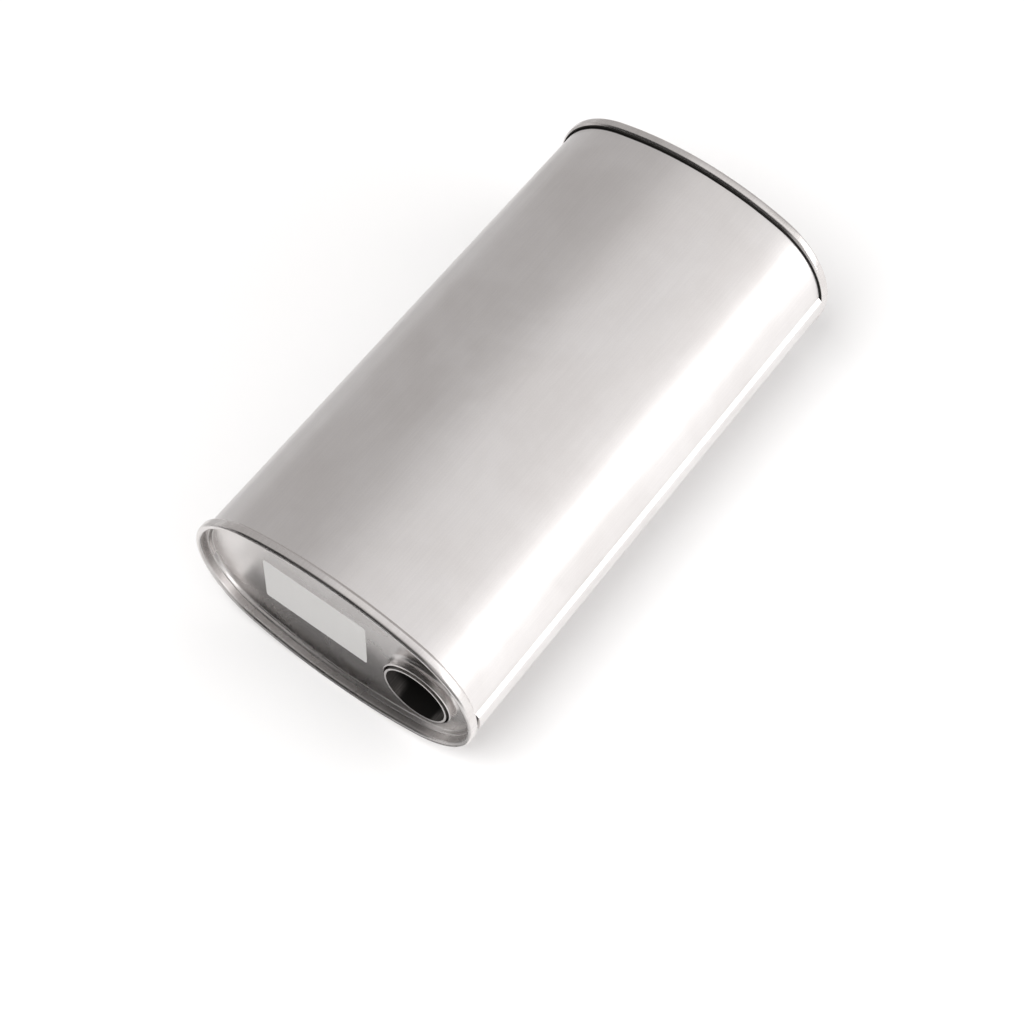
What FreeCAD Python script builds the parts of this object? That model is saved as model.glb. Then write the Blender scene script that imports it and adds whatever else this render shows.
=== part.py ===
import FreeCAD, Part
import math
import os

# Glasspack muffler. A flat oval shell is closed by two recessed end caps, rolled over its
# ends. An offset inlet pipe leads into a perforated tube, and a central outlet pipe leaves
# a louvred tube that is wrapped in glass wool. Two baffles carry the tubes.
#
# Millimetres. X runs from inlet to outlet, Y along the oval's long axis with the inlet on
# the -Y side, Z up. The origin lies under the middle, on the plane that both rims rest on.

# Rims and oval outline
rim_length = 434.0
rim_half_long = 118.0
rim_half_short = 74.0
rim_end_radius = 66.0

# Sheet and tube walls
shell_wall = 0.9
cap_wall = 1.0
baffle_wall = 1.0
tube_wall = 1.2
jacket_wall = 0.8
pipe_wall = 1.5

# Clearances
seam_clearance = 0.05
slip_clearance = 0.15
edge_clearance = 0.3

# Rolled rim: the cap's edge over the shell's hook
hook_turn = 2.0
hook_length = 3.5
rim_bead_length = 5.6
rim_flank_length = 2.6
rim_flank_drop = 2.0

# End cap panel
panel_depth = 9.5
ledge_depth = 6.5
ledge_width = 1.6
ledge_slope = 0.8
panel_margin = 3.0
collar_setback = 1.5
collar_root = 3.5
collar_land = 2.0
collar_flare = 0.6
collar_flare_length = 2.5

# Lock seam along the shell's -Y end
seam_width = 19.0
seam_ramp = 1.5
seam_land = 1.0
seam_to_rim = 1.0

# Inlet pipe
inlet_to_rim_end = 47.0
inlet_bore = 48.6
inlet_mouth_length = 40.0
inlet_length = 107.0
inlet_neck_outside = 44.8

# Outlet pipe
outlet_bore = 45.4
outlet_mouth_length = 93.0
outlet_length = 170.0
outlet_neck_outside = 43.3

# Pipe taper and locking bead
taper_length = 5.0
bead_height = 1.5
bead_flank = 2.0
bead_crest = 3.0
bead_to_pipe_end = 14.0

# Baffles
inlet_chamber = 54.3
outlet_chamber = 110.1
baffle_flange = 8.0
baffle_land = 5.0
baffle_collar = 4.6
baffle_collar_land = 3.0
tube_past_baffle = 5.0

# Perforated tubes: rings of holes between the inlet pipe's end and the outlet baffle
hole_diameter = 9.0
holes_per_ring = 3
hole_pitch = 50.0
hole_zone_margin = 24.0

# Louvred core tube: rings of louvres under the packing
louvres_per_ring = 3
louvre_pitch = 22.0
louvre_zone_margin = 12.0
louvre_length = 12.0
louvre_drop = 2.4
louvre_span = 7.0
louvre_twist = 40.0
louvre_inset = 0.3

# Packing and its jacket
packing_to_baffle = 17.7
packing_to_outlet_pipe = 6.0
jacket_outside = 67.4
jacket_neck = 6.0
jacket_shoulder = 13.0

# Places that follow from the sizes above: insets from the rims' outermost outline, and X
inlet_plane = -rim_length / 2
axis_height = rim_half_short
inlet_offset = rim_half_long - inlet_to_rim_end
along_x = FreeCAD.Vector(1, 0, 0)
rim_inset = cap_wall / 2
hook_inset = cap_wall + seam_clearance + shell_wall / 2
shell_inset = hook_inset + hook_turn
recess_inset = shell_inset + shell_wall / 2 + seam_clearance + cap_wall / 2
ledge_inset = recess_inset + ledge_width
foot_inset = ledge_inset + ledge_slope
baffle_inset = shell_inset + shell_wall / 2 + seam_clearance + baffle_wall / 2
inlet_baffle_x = inlet_plane + inlet_chamber
outlet_baffle_x = -inlet_plane - outlet_chamber
inlet_pipe_end_x = inlet_plane + inlet_length
outlet_pipe_end_x = -inlet_plane - outlet_length
inlet_bead_x = inlet_pipe_end_x - bead_to_pipe_end
outlet_bead_x = outlet_pipe_end_x + bead_to_pipe_end
packing_start_x = inlet_baffle_x + packing_to_baffle
packing_end_x = outlet_pipe_end_x - packing_to_outlet_pipe
inlet_neck_radius = (inlet_neck_outside - pipe_wall) / 2
outlet_neck_radius = (outlet_neck_outside - pipe_wall) / 2
tube_over_neck = (pipe_wall + tube_wall) / 2 + slip_clearance
side_tube_outside = 2 * (inlet_neck_radius + tube_over_neck) + tube_wall
core_outside = 2 * (outlet_neck_radius + tube_over_neck) + tube_wall


def oval_arcs(half_long, half_short, end_radius):
    """The four arcs of the oval, each as centre y, centre z, radius, start and sweep angle."""
    centre = half_long - end_radius
    side_radius = (half_short ** 2 + centre ** 2 - end_radius ** 2) / (2 * (half_short - end_radius))
    side_half = math.degrees(math.asin(centre / (side_radius - end_radius)))
    end_half = 90 - side_half
    side_centre = side_radius - half_short
    return [
        (centre, 0.0, end_radius, -end_half, 2 * end_half),
        (0.0, -side_centre, side_radius, end_half, 2 * side_half),
        (-centre, 0.0, end_radius, 180 - end_half, 2 * end_half),
        (0.0, side_centre, side_radius, 180 + end_half, 2 * side_half),
    ]


def rim_arcs(inset):
    """The oval at an inset from the rims' outermost outline, about the muffler's axis."""
    arcs = oval_arcs(rim_half_long, rim_half_short, rim_end_radius)
    return [(y, axis_height + z, radius - inset, start, sweep) for y, z, radius, start, sweep in arcs]


def point_on(arc, angle, x):
    y, z, radius, start, sweep = arc
    turn = math.radians(angle)
    return FreeCAD.Vector(x, y + radius * math.cos(turn), z + radius * math.sin(turn))


def oval_plate(inset, x, thickness):
    """A flat oval plate, centred on x."""
    edges = []
    for arc in rim_arcs(inset):
        start, sweep = arc[3], arc[4]
        points = [point_on(arc, start + sweep * part, x - thickness / 2) for part in (0, 0.5, 1)]
        edges.append(Part.Arc(*points).toShape())
    return Part.Face(Part.Wire(edges)).extrude(along_x * thickness)


def outline(corners):
    """A face in the XZ plane with these corners."""
    points = [FreeCAD.Vector(u, 0, v) for u, v in corners]
    return Part.Face(Part.makePolygon(points + points[:1]))


def run_normals(path, index):
    """Left-hand normals of the runs before and after a corner; an end has one run only."""
    normals = []
    for first, second in ((index - 1, index), (index, index + 1)):
        if 0 <= first and second < len(path):
            du = path[second][0] - path[first][0]
            dv = path[second][1] - path[first][1]
            length = math.hypot(du, dv)
            normals.append((-dv / length, du / length))
    return normals[0], normals[-1]


def moved_path(path, reach):
    """A path moved to its left by reach, with mitred corners."""
    moved = []
    for index, (u, v) in enumerate(path):
        before, after = run_normals(path, index)
        scale = 1 + before[0] * after[0] + before[1] * after[1]
        moved.append((
            u + reach * (before[0] + after[0]) / scale,
            v + reach * (before[1] + after[1]) / scale,
        ))
    return moved


def bent_path(path, bends):
    """Give a path's corners a bend of this radius, each as two equal folds tangent to it."""
    points = []
    for index, (u, v) in enumerate(path):
        bend = bends.get(index)
        if bend is None:
            points.append((u, v))
            continue
        before, after = run_normals(path, index)
        turn = math.acos(before[0] * after[0] + before[1] * after[1])
        reach = bend * (math.tan(turn / 2) - math.tan(turn / 4))
        points.append((u - before[1] * reach, v + before[0] * reach))
        points.append((u + after[1] * reach, v - after[0] * reach))
    return points


def sheet_section(path, wall):
    """A folded sheet's section: a path of mid-line corners, thickened to both sides."""
    return outline(moved_path(path, wall / 2) + moved_path(path, -wall / 2)[::-1])


def oval_band(section):
    """Sweep a section round the oval. Its u is x and its v runs outward from the rims' outline."""
    sectors = []
    for arc in rim_arcs(0):
        y, z, radius, start, sweep = arc
        face = section.copy()
        face.rotate(FreeCAD.Vector(), along_x, start - 90)
        face.translate(point_on(arc, start, 0))
        sectors.append(face.revolve(FreeCAD.Vector(0, y, z), along_x, sweep))
    return sectors[0].multiFuse(sectors[1:]).removeSplitter()


def turned(section, y):
    """Turn a section round a tube axis at y. Its u is x and its v is the radius."""
    face = section.copy()
    face.translate(FreeCAD.Vector(0, y, axis_height))
    return face.revolve(FreeCAD.Vector(0, y, axis_height), along_x, 360)


def drum(radius, start, length, y):
    return Part.makeCylinder(radius, length, FreeCAD.Vector(start, y, axis_height), along_x)


def at_outlet_end(shape):
    return shape.mirror(FreeCAD.Vector(), along_x)


def shell_band():
    """The shell's sheet round the oval, with a hook turned out at each end."""
    far_plane = -inlet_plane
    turn_u = cap_wall + seam_clearance + shell_wall / 2
    path = [
        (inlet_plane + turn_u + hook_length, -hook_inset),
        (inlet_plane + turn_u, -hook_inset),
        (inlet_plane + turn_u, -shell_inset),
        (far_plane - turn_u, -shell_inset),
        (far_plane - turn_u, -hook_inset),
        (far_plane - turn_u - hook_length, -hook_inset),
    ]
    bends = {corner: hook_turn / 2 for corner in (1, 2, 3, 4)}
    return oval_band(sheet_section(bent_path(path, bends), shell_wall))


def seam_point(along, height):
    """A point of the seam's section: along its width, and over the shell's mid line."""
    y, z, radius, start, sweep = rim_arcs(shell_inset)[2]
    angle = math.pi + along / radius
    return FreeCAD.Vector(0, y + (radius + height) * math.cos(angle), z + (radius + height) * math.sin(angle))


def seam_layer(level, start, end):
    """One flat layer of the seam, between two places along its width."""
    pitch = shell_wall + seam_clearance
    edges = []
    for side in (-1, 1):
        height = level * pitch + side * shell_wall / 2
        points = [seam_point(along, height) for along in (start, (start + end) / 2, end)]
        edges.append(Part.Arc(*points).toShape())
    for along in (start, end):
        low = seam_point(along, level * pitch - shell_wall / 2)
        high = seam_point(along, level * pitch + shell_wall / 2)
        edges.append(Part.makeLine(low, high))
    return Part.Face(Part.Wire(Part.sortEdges(edges)[0]))


def seam_fold(level, along, direction):
    """The fold round the free edge at a level. It joins the layers above and below."""
    pitch = shell_wall + seam_clearance
    centre = seam_point(along, level * pitch)
    outward = (seam_point(along, level * pitch + 1) - centre).normalize()
    sideways = along_x.cross(outward) * direction
    edges = []
    for radius in (pitch + shell_wall / 2, pitch - shell_wall / 2):
        points = [centre - outward * radius, centre + sideways * radius, centre + outward * radius]
        edges.append(Part.Arc(*points).toShape())
    for side in (-1, 1):
        near = centre + outward * side * (pitch - shell_wall / 2)
        far = centre + outward * side * (pitch + shell_wall / 2)
        edges.append(Part.makeLine(near, far))
    return Part.Face(Part.Wire(Part.sortEdges(edges)[0]))


def seam_step(along):
    """The sheet's step from the shell up to the seam's top layer."""
    top = 3 * (shell_wall + seam_clearance)
    path = [
        (along - seam_land, top),
        (along, top),
        (along + seam_ramp, 0),
        (along + seam_ramp + seam_land, 0),
    ]
    corners = moved_path(path, shell_wall / 2) + moved_path(path, -shell_wall / 2)[::-1]
    points = [seam_point(along, height) for along, height in corners]
    return Part.Face(Part.makePolygon(points + points[:1]))


def shell():
    """The rolled sheet. Its edges lock in four layers: each folds round the other's free edge."""
    start_x = inlet_plane + rim_bead_length + rim_flank_length + seam_to_rim
    length = -2 * start_x
    fold = seam_width / 2
    fold_reach = shell_wall / 2 + seam_clearance
    step = fold + seam_ramp
    tip = fold - edge_clearance
    faces = [
        seam_fold(1, fold, 1),
        seam_layer(2, -tip, fold),
        seam_layer(3, -fold, step - seam_land),
        seam_fold(2, -fold, -1),
        seam_layer(1, -fold, tip),
        seam_step(step),
    ]
    gap_end = step + seam_ramp + seam_land
    gap = seam_layer(0, fold, gap_end)
    start = along_x * start_x
    prisms = []
    for face in faces:
        face.translate(start)
        prisms.append(face.extrude(along_x * length))
    gap.translate(start)
    sheet = shell_band().cut(gap.extrude(along_x * length))
    return sheet.multiFuse(prisms).removeSplitter()


def end_cap(pipe_y, pipe_outside):
    """An end cap at the inlet end, with its collar drawn out round a pipe."""
    panel_x = inlet_plane + panel_depth + cap_wall / 2
    ledge_x = inlet_plane + ledge_depth + cap_wall / 2
    nose_x = inlet_plane + cap_wall / 2
    bead_x = inlet_plane + rim_bead_length
    path = [
        (panel_x, -foot_inset - panel_margin),
        (panel_x, -foot_inset),
        (ledge_x, -ledge_inset),
        (ledge_x, -recess_inset),
        (nose_x, -recess_inset),
        (nose_x, -rim_inset),
        (bead_x, -rim_inset),
        (bead_x + rim_flank_length, -rim_inset - rim_flank_drop),
    ]
    nose_bend = (recess_inset - rim_inset) / 2
    rim = oval_band(sheet_section(bent_path(path, {4: nose_bend, 5: nose_bend}), cap_wall))
    panel = oval_plate(foot_inset + panel_margin, panel_x, cap_wall)
    collar_radius = (pipe_outside + cap_wall) / 2 + slip_clearance
    lip_x = inlet_plane + collar_setback
    hole_radius = collar_radius + collar_root + collar_land
    collar_path = [
        (panel_x, hole_radius),
        (panel_x, collar_radius),
        (lip_x + collar_flare_length, collar_radius),
        (lip_x, collar_radius + collar_flare),
    ]
    collar = turned(sheet_section(bent_path(collar_path, {1: collar_root}), cap_wall), pipe_y)
    hole = drum(hole_radius, panel_x - cap_wall / 2, cap_wall, pipe_y)
    return rim.multiFuse([panel.cut(hole), collar]).removeSplitter()


def baffle(x):
    """A baffle with its flange and collars turned towards the inlet end."""
    path = [
        (x, -baffle_inset - baffle_land),
        (x, -baffle_inset),
        (x - baffle_flange, -baffle_inset),
    ]
    flange = oval_band(sheet_section(path, baffle_wall))
    plate = oval_plate(baffle_inset + baffle_land, x, baffle_wall)
    collars = []
    tubes = [(-inlet_offset, side_tube_outside), (0, core_outside), (inlet_offset, side_tube_outside)]
    for tube_y, tube_outside in tubes:
        collar_radius = (tube_outside + baffle_wall) / 2 + slip_clearance
        hole_radius = collar_radius + baffle_collar_land
        collar_path = [(x, hole_radius), (x, collar_radius), (x - baffle_collar, collar_radius)]
        collars.append(turned(sheet_section(collar_path, baffle_wall), tube_y))
        plate = plate.cut(drum(hole_radius, x - baffle_wall / 2, baffle_wall, tube_y))
    return plate.multiFuse([flange, *collars]).removeSplitter()


def bead_corners(bead_x, radius):
    """Mid-line corners of a locking bead, rolled outward in a tube of this radius."""
    foot = bead_crest / 2 + bead_flank
    return [
        (bead_x - foot, radius),
        (bead_x - bead_crest / 2, radius + bead_height),
        (bead_x + bead_crest / 2, radius + bead_height),
        (bead_x + foot, radius),
    ]


def pipe(bore, mouth_length, length, neck_radius, y):
    """A pipe at the inlet end: mouth, taper, neck and locking bead."""
    mouth_radius = (bore + pipe_wall) / 2
    bead_x = inlet_plane + length - bead_to_pipe_end
    path = [
        (inlet_plane, mouth_radius),
        (inlet_plane + mouth_length, mouth_radius),
        (inlet_plane + mouth_length + taper_length, neck_radius),
        *bead_corners(bead_x, neck_radius),
        (inlet_plane + length, neck_radius),
    ]
    return turned(sheet_section(path, pipe_wall), y)


def baffle_tube(neck_radius, y, bead_x=None):
    """A tube from baffle to baffle that fits over a pipe's neck and over its bead."""
    corners = [] if bead_x is None else bead_corners(bead_x, neck_radius)
    neck_line = [
        (inlet_baffle_x - tube_past_baffle, neck_radius),
        *corners,
        (outlet_baffle_x + tube_past_baffle, neck_radius),
    ]
    return turned(sheet_section(moved_path(neck_line, tube_over_neck), tube_wall), y)


def ring_places(zone_start, zone_end, pitch):
    """As many places along X as fit in a zone at this pitch, centred in it."""
    steps = int((zone_end - zone_start) / pitch)
    first = (zone_start + zone_end - steps * pitch) / 2
    return [first + step * pitch for step in range(steps + 1)]


def perforated(tube, y):
    """Cut rings of holes, each ring turned by half a step from the last."""
    holes = []
    step = 360 / holes_per_ring
    axis = FreeCAD.Vector(0, y, axis_height)
    places = ring_places(inlet_pipe_end_x + hole_zone_margin, outlet_baffle_x - hole_zone_margin, hole_pitch)
    for ring, x in enumerate(places):
        for index in range(holes_per_ring):
            hole = Part.makeCylinder(hole_diameter / 2, side_tube_outside, FreeCAD.Vector(x, y, axis_height))
            hole.rotate(axis, along_x, (index + ring / 2) * step)
            holes.append(hole)
    return tube.cut(Part.makeCompound(holes))


def upper_perforated_tube():
    return perforated(baffle_tube(inlet_neck_radius, -inlet_offset, inlet_bead_x), -inlet_offset)


def lower_perforated_tube():
    return perforated(baffle_tube(inlet_neck_radius, inlet_offset), inlet_offset)


def louvred_core_tube():
    """The core tube with slots, each closed by a tab that is pressed into the bore."""
    tube = baffle_tube(outlet_neck_radius, 0, outlet_bead_x)
    outer = core_outside / 2
    inner = outer - tube_wall
    slot_size = (louvre_length, louvre_span, 2 * tube_wall)
    tab_span = louvre_span - 2 * edge_clearance
    step = 360 / louvres_per_ring
    slots = []
    tabs = []
    zone = (packing_start_x + louvre_zone_margin, packing_end_x - louvre_zone_margin)
    for ring, middle in enumerate(ring_places(*zone, louvre_pitch)):
        start = middle - louvre_length / 2
        hinge = middle + louvre_length / 2
        tab_corners = [
            (hinge, inner - louvre_inset),
            (hinge, outer - louvre_inset),
            (start, outer - louvre_inset - louvre_drop),
            (start, inner - louvre_inset - louvre_drop),
        ]
        for index in range(louvres_per_ring):
            corner = FreeCAD.Vector(start, -louvre_span / 2, outer - tube_wall * 1.5)
            slot = Part.makeBox(*slot_size, corner)
            tab = outline(tab_corners).extrude(FreeCAD.Vector(0, tab_span, 0))
            tab.translate(FreeCAD.Vector(0, -tab_span / 2, 0))
            for piece in (slot, tab):
                piece.rotate(FreeCAD.Vector(), along_x, index * step + ring * louvre_twist)
                piece.translate(FreeCAD.Vector(0, 0, axis_height))
            slots.append(slot)
            tabs.append(tab)
    return tube.cut(Part.makeCompound(slots)).multiFuse(tabs)


def jacket_path():
    """Mid line of the jacket: necked on the core tube at both ends, with sloped shoulders."""
    neck_radius = core_outside / 2 + 2 * slip_clearance + jacket_wall / 2
    body_radius = (jacket_outside - jacket_wall) / 2
    shoulder_start = packing_start_x + jacket_neck
    shoulder_end = packing_end_x - jacket_neck
    return [
        (packing_start_x, neck_radius),
        (shoulder_start, neck_radius),
        (shoulder_start + jacket_shoulder, body_radius),
        (shoulder_end - jacket_shoulder, body_radius),
        (shoulder_end, neck_radius),
        (packing_end_x, neck_radius),
    ]


def packing_jacket():
    return turned(sheet_section(jacket_path(), jacket_wall), 0)


def packing():
    """Glass wool between the core tube and the jacket."""
    corners = moved_path(jacket_path(), -jacket_wall / 2 - slip_clearance)[1:-1]
    return turned(outline(corners), 0)


inlet_outside = inlet_bore + 2 * pipe_wall
outlet_outside = outlet_bore + 2 * pipe_wall
inlet_pipe = pipe(inlet_bore, inlet_mouth_length, inlet_length, inlet_neck_radius, -inlet_offset)
outlet_pipe = pipe(outlet_bore, outlet_mouth_length, outlet_length, outlet_neck_radius, 0)
sub_parts = {
    "shell": shell(),
    "inlet_end_cap": end_cap(-inlet_offset, inlet_outside),
    "outlet_end_cap": at_outlet_end(end_cap(0, outlet_outside)),
    "inlet_baffle": baffle(inlet_baffle_x),
    "outlet_baffle": at_outlet_end(baffle(-outlet_baffle_x)),
    "upper_perforated_tube": upper_perforated_tube(),
    "lower_perforated_tube": lower_perforated_tube(),
    "louvred_core_tube": louvred_core_tube(),
    "packing": packing(),
    "packing_jacket": packing_jacket(),
    "inlet_pipe": inlet_pipe,
    "outlet_pipe": at_outlet_end(outlet_pipe),
}

os.makedirs("parts", exist_ok=True)
for name, shape in sub_parts.items():
    shape.exportStep(f"parts/{name}.step")
    print(name, shape.isValid(), len(shape.Solids), round(shape.Volume / 1000, 1), "cm3")
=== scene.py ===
import math

import bmesh
import bpy
from mathutils import Euler, Matrix, Vector


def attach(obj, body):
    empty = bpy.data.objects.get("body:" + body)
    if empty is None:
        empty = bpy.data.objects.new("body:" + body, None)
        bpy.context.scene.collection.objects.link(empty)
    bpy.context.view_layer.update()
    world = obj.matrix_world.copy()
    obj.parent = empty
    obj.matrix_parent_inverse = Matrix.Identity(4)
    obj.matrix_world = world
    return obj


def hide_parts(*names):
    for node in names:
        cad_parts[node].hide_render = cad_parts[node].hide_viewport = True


# Glasspack muffler, in metres. X runs from the inlet to the outlet, with the inlet pipe on
# the -Y side, and Z is up. The outside sheets and pipes are modelled here with true bends;
# the baffles, tubes and packing inside are the frame's own solids.

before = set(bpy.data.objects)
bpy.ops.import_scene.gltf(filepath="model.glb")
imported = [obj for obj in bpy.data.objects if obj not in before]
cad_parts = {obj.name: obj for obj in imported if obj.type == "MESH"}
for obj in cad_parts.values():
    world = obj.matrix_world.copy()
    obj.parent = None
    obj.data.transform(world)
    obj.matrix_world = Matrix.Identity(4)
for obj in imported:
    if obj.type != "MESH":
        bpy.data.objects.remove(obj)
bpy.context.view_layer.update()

mm = 0.001

# Outline of the rims
rim_length = 434 * mm
rim_half_long = 118 * mm
rim_half_short = 74 * mm
rim_end_radius = 66 * mm
axis_height = rim_half_short
near_plane = -rim_length / 2
far_plane = rim_length / 2

# Sheets and the rolled rim, as insets from the rims' outermost outline
cap_wall = 1.0 * mm
shell_wall = 0.9 * mm
pipe_wall = 1.5 * mm
seam_clearance = 0.05 * mm
slip_clearance = 0.15 * mm
hook_turn = 2.0 * mm
hook_length = 3.5 * mm
rim_inset = cap_wall / 2
hook_inset = cap_wall + seam_clearance + shell_wall / 2
shell_inset = hook_inset + hook_turn
recess_inset = shell_inset + shell_wall / 2 + seam_clearance + cap_wall / 2
rim_bead_length = 6.3 * mm
rim_flank_length = 1.9 * mm
rim_flank_drop = 2.0 * mm
rim_flank_bend = 1.2 * mm
nose_trim = 0.004 * mm

# Share of the flank's fall that stays bare steel; the outlet cap's flank below it is painted shade
rim_flank_unshaded = 0.6

# Recess, ledge and panel of a cap
panel_depth = 9.5 * mm
ledge_depth = 6.5 * mm
ledge_width = 1.6 * mm
ledge_slope = 0.8 * mm
ledge_inset = recess_inset + ledge_width
foot_inset = ledge_inset + ledge_slope
ledge_bend = 0.45 * mm
panel_bend = 1.6 * mm
panel_margin = 3.0 * mm
collar_setback = 1.5 * mm
collar_root = 3.5 * mm
collar_land = 2.0 * mm
collar_flare = 1.4 * mm
collar_flare_length = 3.5 * mm
collar_flare_bend = 2.0 * mm

# Lock seam along the -Y end
seam_width = 11.0 * mm
seam_ramp = 3.0 * mm
seam_ramp_bend = 2.0 * mm
seam_edge_clearance = 0.3 * mm
seam_to_rim = 1.0 * mm

# Pipes
inlet_offset = 71 * mm
inlet_bore = 48.6 * mm
inlet_mouth_length = 40 * mm
inlet_length = 107 * mm
inlet_neck_outside = 44.8 * mm
outlet_bore = 45.4 * mm
outlet_mouth_length = 93 * mm
outlet_length = 170 * mm
outlet_neck_outside = 43.3 * mm
taper_length = 5 * mm
bead_height = 1.5 * mm
bead_flank = 2 * mm
bead_crest = 3 * mm
bead_to_pipe_end = 14 * mm
taper_bend = 3 * mm
bead_bend = 1 * mm

# Sticker on the inlet cap's panel, seen with Z up and +Y to the left
sticker_left = 64.5 * mm
sticker_right = -22.7 * mm
sticker_bottom = 47.2 * mm
sticker_top = 98.2 * mm
sticker_corner = 2 * mm
sticker_thickness = 0.12 * mm

# Steps per curve
end_arc_steps = 64
side_arc_steps = 36
turned_steps = 96
sticker_corner_steps = 6
seam_step = 3 * mm
bend_step = math.radians(11)
smooth_angle = math.radians(35)

# How close two places or angles count as the same, and the share of its room a full bend takes
same_place = 0.01 * mm
same_angle = 0.0001
full_bend = 0.999


def deselect_all():
    for obj in bpy.context.selected_objects:
        obj.select_set(False)


def finish_edit():
    """Leave edit mode and put the active piece's place into its mesh."""
    bpy.ops.object.mode_set(mode="OBJECT")
    bpy.ops.object.transform_apply(location=True, rotation=True, scale=True)


def draw(name, points):
    """Start a piece as a line through these points, drawn by extruding one vertex."""
    deselect_all()
    bpy.ops.mesh.primitive_plane_add(size=mm, location=points[0])
    obj = bpy.context.object
    obj.name = name
    obj.data.name = name
    bpy.ops.object.mode_set(mode="EDIT")
    bpy.ops.mesh.merge(type="CENTER")
    for before, after in zip(points, points[1:]):
        step = Vector(after) - Vector(before)
        bpy.ops.mesh.extrude_vertices_move(TRANSFORM_OT_translate={"value": step})
    bpy.ops.mesh.select_all(action="SELECT")
    return obj


def rounded(path, bends):
    """A path's corners rounded to these bend radii, as points on true arcs."""
    points = []
    for index, corner in enumerate(path):
        corner = Vector(corner)
        if index not in bends:
            points.append(corner)
            continue
        back = (Vector(path[index - 1]) - corner).normalized()
        ahead = (Vector(path[index + 1]) - corner).normalized()
        half = back.angle(ahead) / 2
        centre = corner + (back + ahead).normalized() * (bends[index] / math.sin(half))
        first = corner + back * (bends[index] / math.tan(half)) - centre
        last = corner + ahead * (bends[index] / math.tan(half)) - centre
        turn = first.angle_signed(last)
        steps = max(2, math.ceil(abs(turn) / bend_step))
        for step in range(steps + 1):
            spoke = first.copy()
            spoke.rotate(Matrix.Rotation(-turn * step / steps, 2))
            points.append(centre + spoke)
    return points


def oval_arcs():
    """The rims' outline as arcs: centre y and z, radius, start angle and sweep."""
    reach = rim_half_long - rim_end_radius
    side_radius = (rim_half_short ** 2 + reach ** 2 - rim_end_radius ** 2) / (
        2 * (rim_half_short - rim_end_radius))
    side_half = math.asin(reach / (side_radius - rim_end_radius))
    end_half = math.pi / 2 - side_half
    side_centre = side_radius - rim_half_short
    return [
        (reach, axis_height, rim_end_radius, -end_half, 2 * end_half),
        (0, axis_height - side_centre, side_radius, end_half, 2 * side_half),
        (-reach, axis_height, rim_end_radius, math.pi - end_half, 2 * end_half),
        (0, axis_height + side_centre, side_radius, math.pi + end_half, 2 * side_half),
    ]


def oval_sweep(name, section):
    """Spin a section round the oval's four arcs. A section point is (x, inset from the rims)."""
    y, z, radius, start = oval_arcs()[0][:4]
    points = []
    for x, inset in section:
        reach = radius - inset
        points.append((x, y + reach * math.cos(start), z + reach * math.sin(start)))
    obj = draw(name, points)
    for y, z, radius, _, sweep in oval_arcs():
        steps = end_arc_steps if radius == rim_end_radius else side_arc_steps
        bpy.ops.mesh.spin(steps=steps, angle=-sweep, center=(0, y, z), axis=(1, 0, 0))
    bpy.ops.mesh.select_all(action="SELECT")
    bpy.ops.mesh.remove_doubles(threshold=same_place)
    return obj


def turned(name, section, y):
    """Spin a section round a pipe's axis. A section point is (x, radius)."""
    obj = draw(name, [(x, y, axis_height + radius) for x, radius in section])
    bpy.ops.mesh.spin(steps=turned_steps, angle=math.tau, center=(0, y, axis_height), axis=(1, 0, 0))
    bpy.ops.mesh.select_all(action="SELECT")
    bpy.ops.mesh.remove_doubles(threshold=same_place)
    return obj


def apply_modifier(obj, kind, **settings):
    """Add a modifier with these settings and apply it."""
    modifier = obj.modifiers.new(kind.title(), kind)
    for key, value in settings.items():
        setattr(modifier, key, value)
    bpy.ops.object.modifier_apply(modifier=modifier.name)


def thicken(obj, wall):
    """Give an open sheet its wall, half to each side, and smooth its bends."""
    bpy.ops.mesh.normals_make_consistent(inside=False)
    finish_edit()
    apply_modifier(obj, "SOLIDIFY", thickness=wall, offset=0, use_even_offset=True)
    bpy.ops.object.shade_smooth_by_angle(angle=smooth_angle)


def join(pieces, name):
    """Join finished pieces into the first and name it."""
    deselect_all()
    for piece in pieces:
        piece.select_set(True)
    bpy.context.view_layer.objects.active = pieces[0]
    bpy.ops.object.join()
    pieces[0].name = name
    return pieces[0]


def inset_at(y, z):
    """How far a point lies inside the rims' outermost outline.

    The arc across the oval can span the point too, and then gives a larger inset.
    """
    insets = []
    for centre_y, centre_z, radius, start, sweep in oval_arcs():
        angle = math.atan2(z - centre_z, y - centre_y)
        if (angle - start + same_angle) % math.tau <= sweep + 2 * same_angle:
            insets.append(radius - math.hypot(y - centre_y, z - centre_z))
    return min(insets)


def select_edges(obj, chosen):
    """Select only the edges whose two ends both pass the test."""
    bpy.ops.mesh.select_all(action="DESELECT")
    mesh = bmesh.from_edit_mesh(obj.data)
    for edge in mesh.edges:
        if all(chosen(obj.matrix_world @ vertex.co) for vertex in edge.verts):
            edge.select_set(True)
    bmesh.update_edit_mesh(obj.data)


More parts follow.
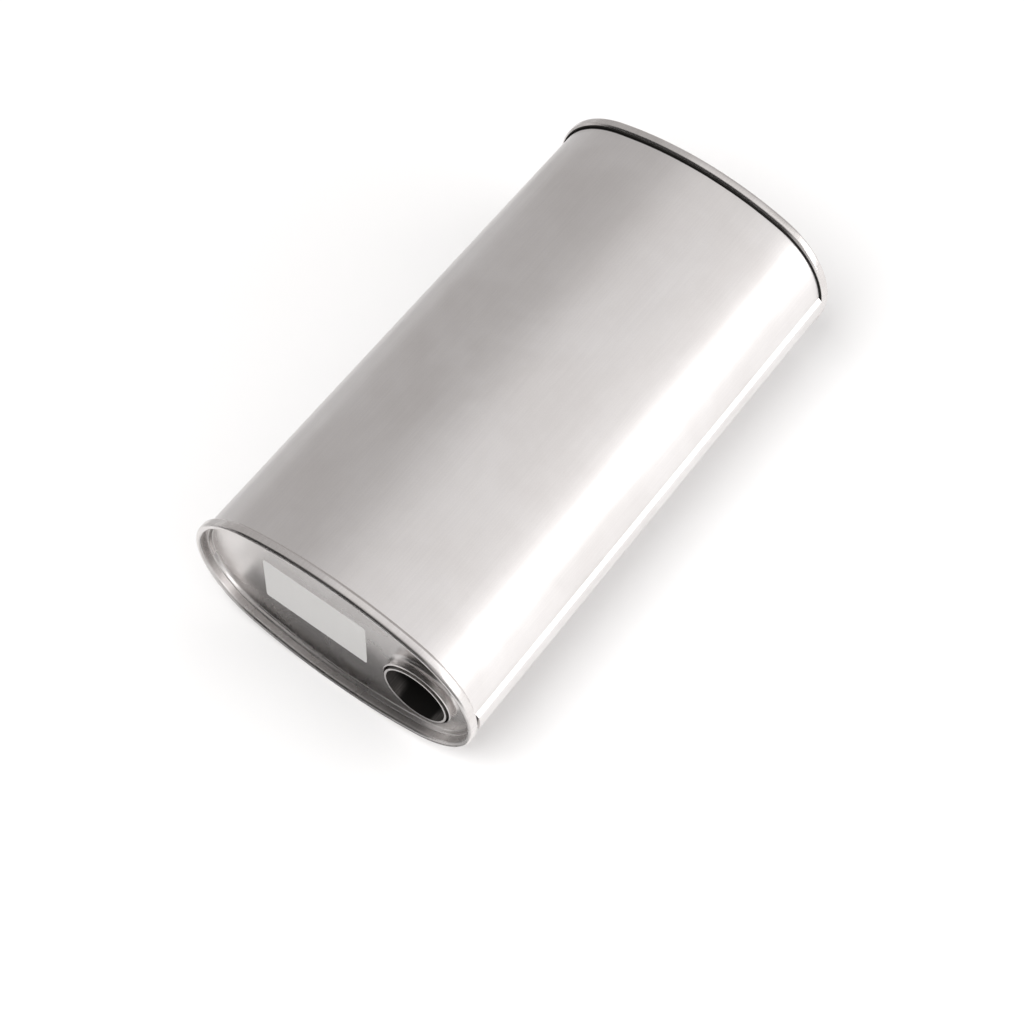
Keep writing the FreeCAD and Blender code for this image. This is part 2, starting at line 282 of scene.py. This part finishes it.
def end_cap(name, side, pipe_y, pipe_outside):
    """One pressed cap: rolled edge, nose, recess, ledge, panel and the collar round its pipe.

    side is 1 at the inlet end and -1 at the outlet end, and depths run inward from the rim.
    """
    plane = near_plane * side

    def at(depth):
        return plane + depth * side

    panel_x = at(panel_depth + cap_wall / 2)
    nose_bend = (recess_inset - rim_inset) / 2
    corners = [
        (panel_x, foot_inset + panel_margin),
        (panel_x, foot_inset),
        (at(ledge_depth + cap_wall / 2), ledge_inset),
        (at(ledge_depth + cap_wall / 2), recess_inset),
        (at(cap_wall / 2 + nose_trim), recess_inset),
        (at(cap_wall / 2 + nose_trim), rim_inset),
        (at(rim_bead_length), rim_inset),
        (
            at(rim_bead_length + rim_flank_length * rim_flank_unshaded),
            rim_inset + rim_flank_drop * rim_flank_unshaded,
        ),
        (at(rim_bead_length + rim_flank_length), rim_inset + rim_flank_drop),
    ]
    bends = {
        1: panel_bend,
        2: ledge_bend,
        3: ledge_bend,
        4: nose_bend * full_bend,
        5: nose_bend * full_bend,
        6: rim_flank_bend,
    }
    rim = oval_sweep(name, rounded(corners, bends))
    finish_edit()
    collar_radius = (pipe_outside + cap_wall) / 2 + slip_clearance
    hole_radius = collar_radius + collar_root + collar_land
    collar_corners = [
        (panel_x, hole_radius),
        (panel_x, collar_radius),
        (at(collar_setback + collar_flare_length), collar_radius),
        (at(collar_setback), collar_radius + collar_flare),
    ]
    collar_bends = {1: collar_root, 2: collar_flare_bend}
    collar = turned(f"{name}_collar", rounded(collar_corners, collar_bends), pipe_y)
    finish_edit()
    cap = join([rim, collar], name)
    bpy.ops.object.mode_set(mode="EDIT")

    def on_panel_edge(point):
        """Whether a point lies on the panel's outer ring or on the ring round its pipe."""
        if abs(point.x - panel_x) > same_place:
            return False
        from_pipe = math.hypot(point.y - pipe_y, point.z - axis_height)
        if abs(from_pipe - hole_radius) < same_place:
            return True
        return abs(inset_at(point.y, point.z) - foot_inset - panel_margin) < same_place

    select_edges(cap, on_panel_edge)
    bpy.ops.mesh.fill()
    bpy.ops.mesh.select_all(action="SELECT")
    thicken(cap, cap_wall)
    return cap


def shell_sheet():
    """The shell round the oval with the hooks that the caps are rolled over."""
    turn_depth = cap_wall + seam_clearance + shell_wall / 2
    corners = [
        (near_plane + turn_depth + hook_length, hook_inset),
        (near_plane + turn_depth, hook_inset),
        (near_plane + turn_depth, shell_inset),
        (far_plane - turn_depth, shell_inset),
        (far_plane - turn_depth, hook_inset),
        (far_plane - turn_depth - hook_length, hook_inset),
    ]
    bends = {corner: hook_turn / 2 * full_bend for corner in (1, 2, 3, 4)}
    sheet = oval_sweep("shell_sheet", rounded(corners, bends))
    thicken(sheet, shell_wall)
    return sheet


def lock_seam():
    """The folded seam's outer layers: two free edges, each hooked round the other.

    A path point is (place along the seam's width, upwards, height over the shell's mid line).
    The seam's upper side ramps up from the shell and its lower side is the fold.
    """
    pitch = shell_wall + seam_clearance
    fold = seam_width / 2
    fold_bend = pitch * full_bend
    tip = fold - seam_edge_clearance
    step = fold + seam_ramp
    folded_over = [
        (step + seam_ramp, 0),
        (step, 3 * pitch),
        (-fold - pitch, 3 * pitch),
        (-fold - pitch, pitch),
        (tip, pitch),
    ]
    folded_back = [(fold - 4 * pitch, 0), (fold + pitch, 0), (fold + pitch, 2 * pitch), (-tip, 2 * pitch)]
    y, z, radius = oval_arcs()[2][:3]
    reach = radius - shell_inset
    seam_start = near_plane + rim_bead_length + rim_flank_length + seam_to_rim
    parts = []
    for path, bends in (
        (folded_over, {1: seam_ramp_bend, 2: fold_bend, 3: fold_bend}),
        (folded_back, {1: fold_bend, 2: fold_bend}),
    ):
        bent = rounded(path, bends)
        dense = []
        for first, last in zip(bent, bent[1:]):
            pieces = max(1, round((last - first).length / seam_step))
            dense += [first.lerp(last, piece / pieces) for piece in range(pieces)]
        dense.append(bent[-1])
        points = []
        for along, height in dense:
            angle = math.pi - along / reach
            points.append((
                seam_start,
                y + (reach + height) * math.cos(angle),
                z + (reach + height) * math.sin(angle),
            ))
        part = draw("seam_part", points)
        bpy.ops.mesh.extrude_region_move(
            TRANSFORM_OT_translate={"value": (-2 * seam_start, 0, 0)})
        bpy.ops.mesh.select_all(action="SELECT")
        thicken(part, shell_wall)
        parts.append(part)
    return join(parts, "lock_seam")


def pipe(name, side, bore, mouth_length, length, neck_outside, y):
    """A pipe from the rim's plane inward: mouth, taper, neck and rolled locking bead."""
    plane = near_plane * side
    mouth_radius = (bore + pipe_wall) / 2
    neck_radius = (neck_outside - pipe_wall) / 2
    bead = length - bead_to_pipe_end
    depths = [
        (0, mouth_radius),
        (mouth_length, mouth_radius),
        (mouth_length + taper_length, neck_radius),
        (bead - bead_crest / 2 - bead_flank, neck_radius),
        (bead - bead_crest / 2, neck_radius + bead_height),
        (bead + bead_crest / 2, neck_radius + bead_height),
        (bead + bead_crest / 2 + bead_flank, neck_radius),
        (length, neck_radius),
    ]
    corners = [(plane + depth * side, radius) for depth, radius in depths]
    bends = {1: taper_bend, 2: taper_bend, 3: bead_bend, 4: bead_bend, 5: bead_bend, 6: bead_bend}
    obj = turned(name, rounded(corners, bends), y)
    thicken(obj, pipe_wall)
    return obj


inlet_outside = inlet_bore + 2 * pipe_wall
outlet_outside = outlet_bore + 2 * pipe_wall
shell = join([shell_sheet(), lock_seam()], "rolled_shell")
inlet_cap = end_cap("pressed_inlet_cap", 1, -inlet_offset, inlet_outside)
outlet_cap = end_cap("pressed_outlet_cap", -1, 0, outlet_outside)
inlet_pipe = pipe("drawn_inlet_pipe", 1, inlet_bore, inlet_mouth_length, inlet_length,
                  inlet_neck_outside, -inlet_offset)
outlet_pipe = pipe("drawn_outlet_pipe", -1, outlet_bore, outlet_mouth_length, outlet_length,
                   outlet_neck_outside, 0)
for piece, node in (
    (shell, "shell"),
    (inlet_cap, "inlet_end_cap"),
    (outlet_cap, "outlet_end_cap"),
    (inlet_pipe, "inlet_pipe"),
    (outlet_pipe, "outlet_pipe"),
):
    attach(piece, "root")
    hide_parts(node)

# Camera
camera_place = Vector((-733.8, -475.5, 1486.7)) * mm
camera_turn = Euler([math.radians(angle) for angle in (29.409, -1.836, -53.603)])
camera_lens = 82.55
camera_data = bpy.data.cameras.new("camera")
camera_data.lens = camera_lens
camera = bpy.data.objects.new("camera", camera_data)
camera.location = camera_place
camera.rotation_euler = camera_turn
bpy.context.scene.collection.objects.link(camera)
bpy.context.scene.camera = camera

# Grain of the metal sheets, the painted shade in the joint and in the pipes' bores, and the wool
draw_mark_size = 1.1 * mm
draw_mark_stretch = 50
grain_size = 0.6 * mm
relief_depth = 0.05 * mm
# Painted shade: the near-black, dull finish painted into the outlet cap's joint and the pipes' bores
painted_shade_black = (0.008, 0.0075, 0.007)
painted_shade_roughness = 0.8
# Painted shade on the shell at the outlet cap's rolled edge: a black band this wide, wavy, and wider towards
# +Y
joint_place = far_plane - rim_bead_length - rim_flank_length
joint_shade_width = 0.6 * mm
joint_shade_wave = 0.6 * mm
joint_shade_lean = 2.0 * mm
# Painted shade in the pipes' bores: black from some depth in and along the bottom, with a wavy edge
bore_shade_wave = 5 * mm
bore_shade_start = 1 * mm
bore_shade_end = 15 * mm
bore_shade_low = 21 * mm
bore_shade_high = 16 * mm
bore_mouth_unshaded = 0.75
wool_strand_size = 0.5 * mm
wool_tuft_size = 9 * mm
wool_relief_depth = 0.4 * mm


def add_node(tree, kind, inputs=None, **settings):
    """Add a shader node. An input is a value, or the output that feeds it."""
    made = tree.nodes.new(kind)
    for key, value in settings.items():
        setattr(made, key, value)
    for key, value in (inputs or {}).items():
        if isinstance(value, bpy.types.NodeSocket):
            tree.links.new(value, made.inputs[key])
        else:
            made.inputs[key].default_value = value
    return made


def new_material(name):
    """An empty principled material, its tree and its shader."""
    made = bpy.data.materials.new(name)
    made.use_nodes = True
    return made, made.node_tree, made.node_tree.nodes["Principled BSDF"]


def object_noise(tree, size, stretch=(1, 1, 1), detail=4, roughness=0.55, distortion=0):
    """Noise with features of this size in metres, drawn out along an axis by its stretch."""
    place = add_node(tree, "ShaderNodeTexCoord").outputs["Object"]
    scale = [1 / size / factor for factor in stretch]
    mapped = add_node(tree, "ShaderNodeMapping", {"Vector": place, "Scale": scale}).outputs["Vector"]
    return add_node(tree, "ShaderNodeTexNoise", {
        "Vector": mapped,
        "Scale": 1,
        "Detail": detail,
        "Roughness": roughness,
        "Distortion": distortion,
    }).outputs["Fac"]


def remap(tree, value, low, high, new_low, new_high, smooth=True):
    """Map a range of a value to a new range, held at its ends."""
    kind = "SMOOTHSTEP" if smooth else "LINEAR"
    return add_node(tree, "ShaderNodeMapRange", {
        "Value": value,
        "From Min": low,
        "From Max": high,
        "To Min": new_low,
        "To Max": new_high,
    }, interpolation_type=kind).outputs["Result"]


def mix_color(tree, factor, first, second, blend="MIX"):
    """Mix two colours. Each, and the factor, is a value or the output that feeds it."""
    made = add_node(tree, "ShaderNodeMix", data_type="RGBA", blend_type=blend)
    for socket, value in ((made.inputs[0], factor), (made.inputs[6], first), (made.inputs[7], second)):
        if isinstance(value, bpy.types.NodeSocket):
            tree.links.new(value, socket)
        elif isinstance(value, (int, float)):
            socket.default_value = value
        else:
            socket.default_value = (*value, 1)
    return made.outputs[2]


def math_node(tree, operation, first, second):
    """One sum of two values or outputs."""
    made = add_node(tree, "ShaderNodeMath", operation=operation)
    for socket, value in zip(made.inputs, (first, second)):
        if isinstance(value, bpy.types.NodeSocket):
            tree.links.new(value, socket)
        else:
            socket.default_value = value
    return made.outputs[0]


def color_from(tree, value):
    """The grey with this value."""
    return add_node(tree, "ShaderNodeCombineColor", {"Red": value, "Green": value, "Blue": value}).outputs[0]


def object_axis(tree, axis):
    """A place's X, Y or Z on the piece, in metres."""
    place = add_node(tree, "ShaderNodeTexCoord").outputs["Object"]
    return add_node(tree, "ShaderNodeSeparateXYZ", {"Vector": place}).outputs[axis]


def wavy_edge(tree, patches, wave):
    """An edge's way to and fro, as far as half a wave to each side."""
    return math_node(tree, "MULTIPLY", math_node(tree, "SUBTRACT", patches, 0.5), wave)


def satin_sheet(name, pale, shade, roughness, draw_marks=0.03, cloud_size=0.11, relief=0.04, painted_shade=None):
    """Satin metal sheet: soft cloudy mottling, faint draw marks along X and a fine grain.

    Painted shade, where there is any, is a function that says how far a place is left unshaded, from 0 to 1. A
    place that is shaded is painted black and dull, and isn't metallic.
    """
    made, tree, shader = new_material(name)
    clouds = object_noise(tree, cloud_size, detail=3, distortion=0.8)
    patches = object_noise(tree, cloud_size / 5, detail=3)
    marks = object_noise(tree, draw_mark_size, stretch=(draw_mark_stretch, 1, 1), detail=2)
    grain = object_noise(tree, grain_size, detail=2)
    wide = remap(tree, clouds, 0.3, 0.7, 0, 0.75)
    narrow = remap(tree, patches, 0.3, 0.7, 0, 0.25)
    color = mix_color(tree, math_node(tree, "ADD", wide, narrow), shade, pale)
    streaky = remap(tree, marks, 0.25, 0.75, 1 - draw_marks, 1)
    color = mix_color(tree, 1, color, color_from(tree, streaky), "MULTIPLY")
    speck = remap(tree, grain, 0.3, 0.7, 0.97, 1)
    color = mix_color(tree, 1, color, color_from(tree, speck), "MULTIPLY")
    gloss = remap(tree, clouds, 0.25, 0.75, roughness - 0.03, roughness + 0.03)
    if painted_shade is None:
        shader.inputs["Metallic"].default_value = 1
    else:
        # Painted shade: where the mask is low, the sheet is painted black, dull and not metallic
        unshaded = painted_shade(tree, patches)
        color = mix_color(tree, unshaded, painted_shade_black, color)
        gloss = math_node(tree, "MAXIMUM", gloss, remap(tree, unshaded, 0, 1, painted_shade_roughness, 0))
        tree.links.new(unshaded, shader.inputs["Metallic"])
        shader.inputs["Specular IOR Level"].default_value = 0.1
    tree.links.new(color, shader.inputs["Base Color"])
    tree.links.new(gloss, shader.inputs["Roughness"])
    bump = add_node(tree, "ShaderNodeBump", {"Height": marks, "Strength": relief, "Distance": relief_depth})
    tree.links.new(bump.outputs["Normal"], shader.inputs["Normal"])
    return made


def joint_shade_mask(tree, patches):
    """Painted shade on the shell at the outlet cap's joint: bare sheet up to the joint, the shaded band wider
    towards +Y.
    """
    wavy = wavy_edge(tree, patches, joint_shade_wave)
    lean = remap(tree, object_axis(tree, "Y"), -rim_half_long, rim_half_long, 0, joint_shade_lean,
                 smooth=False)
    reach = math_node(tree, "ADD", object_axis(tree, "X"), math_node(tree, "ADD", wavy, lean))
    return remap(tree, reach, joint_place - joint_shade_width, joint_place, 1, 0)


def bore_shade_mask(tree, patches):
    """Painted shade in the pipe's bore: mostly bare at the mouth, black further in and all along the bottom.
    """
    wavy = wavy_edge(tree, patches, bore_shade_wave)
    depth = math_node(tree, "SUBTRACT", far_plane, math_node(tree, "ABSOLUTE", object_axis(tree, "X"), 0))
    depth = math_node(tree, "ADD", depth, wavy)
    mouth = remap(tree, depth, bore_shade_start, bore_shade_end, bore_mouth_unshaded, 0)
    height = math_node(tree, "ADD", object_axis(tree, "Z"), wavy)
    above = remap(tree, height, axis_height - bore_shade_low, axis_height - bore_shade_high, 0, 1)
    return math_node(tree, "MULTIPLY", mouth, above)


def painted_joint_shade():
    """Painted shade in the open joint between a cap's rolled edge and the shell: near-black with faint
    blotches.
    """
    made, tree, shader = new_material("painted_joint_shade")
    blotches = object_noise(tree, 3 * mm, detail=4)
    color = mix_color(tree, blotches, (0.006, 0.0055, 0.005), (0.03, 0.028, 0.026))
    tree.links.new(color, shader.inputs["Base Color"])
    shader.inputs["Roughness"].default_value = 0.8
    shader.inputs["Specular IOR Level"].default_value = 0.15
    return made


def glass_wool(name, pale, shade):
    """Packed glass wool: fine crossed strands with loose tufts between them."""
    made, tree, shader = new_material(name)
    along = object_noise(tree, wool_strand_size, stretch=(14, 1, 1), detail=3, distortion=0.6)
    round_it = object_noise(tree, wool_strand_size, stretch=(1, 10, 10), detail=3, distortion=0.9)
    tufts = object_noise(tree, wool_tuft_size, detail=5, roughness=0.7)
    strands = math_node(tree, "MAXIMUM", along, round_it)
    color = mix_color(tree, remap(tree, strands, 0.4, 0.75, 0, 1), shade, pale)
    dusk = remap(tree, tufts, 0.3, 0.7, 0.82, 1)
    color = mix_color(tree, 1, color, color_from(tree, dusk), "MULTIPLY")
    tree.links.new(color, shader.inputs["Base Color"])
    shader.inputs["Roughness"].default_value = 0.9
    shader.inputs["Sheen Weight"].default_value = 0.3
    height = math_node(tree, "ADD", strands, math_node(tree, "MULTIPLY", tufts, 2))
    bump = add_node(tree, "ShaderNodeBump", {"Height": height, "Strength": 0.8, "Distance": wool_relief_depth})
    tree.links.new(bump.outputs["Normal"], shader.inputs["Normal"])
    return made


def sticker_paper():
    """Plain pale paper with faint fibres."""
    made, tree, shader = new_material("sticker_paper")
    fibres = object_noise(tree, 0.8 * mm, stretch=(1, 3, 1), detail=3)
    color = mix_color(tree, fibres, (0.59, 0.585, 0.575), (0.64, 0.635, 0.625))
    tree.links.new(color, shader.inputs["Base Color"])
    shader.inputs["Roughness"].default_value = 0.55
    return made


# The shell gets painted shade where it meets the outlet cap's rolled edge
shell_steel = satin_sheet("satin_shell_sheet", (0.84, 0.82, 0.815), (0.76, 0.735, 0.725), 0.36,
                          painted_shade=joint_shade_mask)
cap_steel = satin_sheet("drawn_cap_sheet", (0.82, 0.795, 0.785), (0.72, 0.69, 0.675), 0.27, draw_marks=0.08,
                        cloud_size=0.05, relief=0.02)
# The pipes get painted shade in their bores
pipe_steel = satin_sheet("pipe_steel", (0.4, 0.375, 0.36), (0.24, 0.22, 0.21), 0.34, draw_marks=0.5,
                         painted_shade=bore_shade_mask)
baffle_sheet = satin_sheet("baffle_sheet", (0.5, 0.47, 0.455), (0.4, 0.37, 0.36), 0.42, cloud_size=0.04)
tube_steel = satin_sheet("perforated_tube_steel", (0.56, 0.53, 0.51), (0.44, 0.41, 0.39), 0.38,
                         draw_marks=0.25, cloud_size=0.06)
jacket_sheet = satin_sheet("jacket_sheet", (0.66, 0.64, 0.63), (0.56, 0.53, 0.52), 0.34, draw_marks=0.12)
joint_shade_paint = painted_joint_shade()
wool = glass_wool("glass_wool", (0.82, 0.76, 0.58), (0.5, 0.43, 0.28))


def sticker():
    """A bare sticker on the inlet cap's panel, its corners cut round."""
    panel_face = near_plane + panel_depth
    low = Vector((sticker_right, sticker_bottom))
    high = Vector((sticker_left, sticker_top))
    middle = (low + high) / 2
    deselect_all()
    bpy.ops.mesh.primitive_plane_add(
        size=1, location=(panel_face, *middle), rotation=(0, -math.pi / 2, 0))
    obj = bpy.context.object
    obj.name = "bare_sticker"
    width, height = high - low
    obj.scale = (height, width, 1)
    bpy.ops.object.transform_apply(location=True, rotation=True, scale=True)
    bpy.ops.object.mode_set(mode="EDIT")
    bpy.ops.mesh.bevel(offset=sticker_corner, segments=sticker_corner_steps, affect="VERTICES")
    bpy.ops.mesh.extrude_region_move(TRANSFORM_OT_translate={"value": (-sticker_thickness, 0, 0)})
    bpy.ops.mesh.select_all(action="SELECT")
    bpy.ops.mesh.normals_make_consistent(inside=False)
    finish_edit()
    return obj


def paint_flank_shade(cap):
    """Paint shade on the rolled edge's flank, where it falls to the shell, as a near-black material on its
    lower faces.
    """
    cap.data.materials.append(joint_shade_paint)
    flank_place = far_plane - rim_bead_length - rim_flank_length * rim_flank_unshaded
    for face in cap.data.polygons:
        x, y, z = face.center
        if x < flank_place and inset_at(y, z) < shell_inset:
            face.material_index = 1


def bright_mouth(piece):
    """Keep the cut end of a pipe as bright as the caps."""
    piece.data.materials.append(cap_steel)
    for face in piece.data.polygons:
        if far_plane - abs(face.center.x) < same_place:
            face.material_index = 1


bare_sticker = sticker()
bare_sticker.data.materials.append(sticker_paper())
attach(bare_sticker, "root")
finishes = {
    "rolled_shell": (shell_steel, "shell_sheet"),
    "pressed_inlet_cap": (cap_steel, "cap_sheet"),
    "pressed_outlet_cap": (cap_steel, "cap_sheet"),
    "drawn_inlet_pipe": (pipe_steel, "pipe_steel"),
    "drawn_outlet_pipe": (pipe_steel, "pipe_steel"),
}
for name, (finish, slot) in finishes.items():
    piece = bpy.data.objects[name]
    piece.data.materials.append(finish)
# The outlet cap's flank gets painted shade where it meets the shell
paint_flank_shade(outlet_cap)
bright_mouth(inlet_pipe)
bright_mouth(outlet_pipe)

inner_finishes = {
    "inlet_baffle": baffle_sheet,
    "outlet_baffle": baffle_sheet,
    "upper_perforated_tube": tube_steel,
    "lower_perforated_tube": tube_steel,
    "louvred_core_tube": tube_steel,
    "packing": wool,
    "packing_jacket": jacket_sheet,
}
for name, finish in inner_finishes.items():
    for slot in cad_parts[name].material_slots:
        slot.material = finish

# Stage: a plain pale floor, an even pale surround, four soft lamps and the cards that only
# reflections see
floor_size = 16
surround_color = (1, 0.975, 0.965, 1)
surround_strength = 0.52
panel_card_height = 1 * mm
floor_card_height = 1.5 * mm


def matt_paint(name, value):
    """Even matt paint of one grey."""
    made, _, shader = new_material(name)
    shader.inputs["Base Color"].default_value = (value, value, value, 1)
    shader.inputs["Roughness"].default_value = 1
    shader.inputs["Specular IOR Level"].default_value = 0
    return made


deselect_all()
bpy.ops.mesh.primitive_plane_add(size=floor_size)
floor = bpy.context.object
floor.name = "floor"
floor.data.materials.append(matt_paint("floor_paint", 0.95))

world = bpy.data.worlds.new("studio")
bpy.context.scene.world = world
world.use_nodes = True
world.node_tree.nodes["Background"].inputs["Color"].default_value = surround_color
world.node_tree.nodes["Background"].inputs["Strength"].default_value = surround_strength
bpy.context.scene.view_settings.view_transform = "Standard"


def soft_lamp(name, direction, distance, size, radiance):
    """A soft box that faces the muffler, with this radiance over its face."""
    data = bpy.data.lights.new(name, "AREA")
    data.shape = "RECTANGLE"
    data.size, data.size_y = size
    data.energy = radiance * math.pi * size[0] * size[1]
    lamp = bpy.data.objects.new(name, data)
    centre = Vector((0, 0, axis_height))
    lamp.location = centre + Vector(direction).normalized() * distance
    lamp.rotation_euler = (lamp.location - centre).to_track_quat("Z", "Y").to_euler()
    lamp.visible_camera = False
    bpy.context.scene.collection.objects.link(lamp)
    return lamp


soft_lamp("side_soft_box", direction=(0.25, -0.87, 0.3), distance=2, size=(3.4, 1), radiance=1.9)
soft_lamp("high_soft_box", direction=(0.4, -0.56, 0.73), distance=2.2, size=(1.4, 1.3), radiance=0.65)
soft_lamp("sky_soft_box", direction=(0.4, 0.02, 0.91), distance=2.4, size=(1.6, 1.5), radiance=0.42)
floor_fill = soft_lamp("floor_fill", direction=(-0.45, 0.15, 0.88), distance=2.4, size=(1.6, 1.6),
                       radiance=4.5)
floor_fill.visible_glossy = False


def reflected_card(name, place, turn, size, paint):
    """A card that only reflections see, as a studio keeps behind its camera. The grey and slate cards on the
    floor close by the muffler are painted shade of the floor, seen only in reflections.
    """
    deselect_all()
    bpy.ops.mesh.primitive_plane_add(size=1, location=place, rotation=turn)
    card = bpy.context.object
    card.name = name
    card.scale = (*size, 1)
    bpy.ops.object.transform_apply(location=True, rotation=True, scale=True)
    card.data.materials.append(paint)
    for rays in ("camera", "diffuse", "shadow"):
        setattr(card, f"visible_{rays}", False)


flat = (0, 0, 0)
black_paint = matt_paint("black_board", 0.05)
slate_paint = matt_paint("slate_board", 0.15)
grey_paint = matt_paint("grey_board", 0.55)
pale_paint = matt_paint("pale_board", 0.68)
camera_side = Vector((-0.77, 0.28, 0.57))
camera_side_distance = 2.4
reflected_card(
    "camera_side_card",
    place=camera_side * camera_side_distance,
    turn=camera_side.to_track_quat("Z", "Y").to_euler(),
    size=(4.2, 3.2),
    paint=black_paint,
)
reflected_card(
    "front_floor_card",
    place=(near_plane - 0.6, 0, floor_card_height),
    turn=flat,
    size=(0.86, 1.6),
    paint=black_paint,
)
# Painted shade: a grey card on the floor at +Y, the muffler's shadow side, that only the shell's reflections
# see
reflected_card(
    "side_floor_card",
    place=(0.25, 0.55, floor_card_height),
    turn=flat,
    size=(1.4, 0.6),
    paint=grey_paint,
)

# Two cards close before the inlet cap, which its panel shows below and above its middle. They are painted
# shade: they darken the floor that the panel reflects there, and only reflections see them.
reflected_card(
    "panel_card",
    place=(near_plane - 11 * mm, -5 * mm, panel_card_height),
    turn=flat,
    size=(20 * mm, 220 * mm),
    paint=slate_paint,
)
reflected_card(
    "panel_grey_card",
    place=(near_plane - 56 * mm, -14 * mm, panel_card_height),
    turn=flat,
    size=(70 * mm, 270 * mm),
    paint=pale_paint,
)
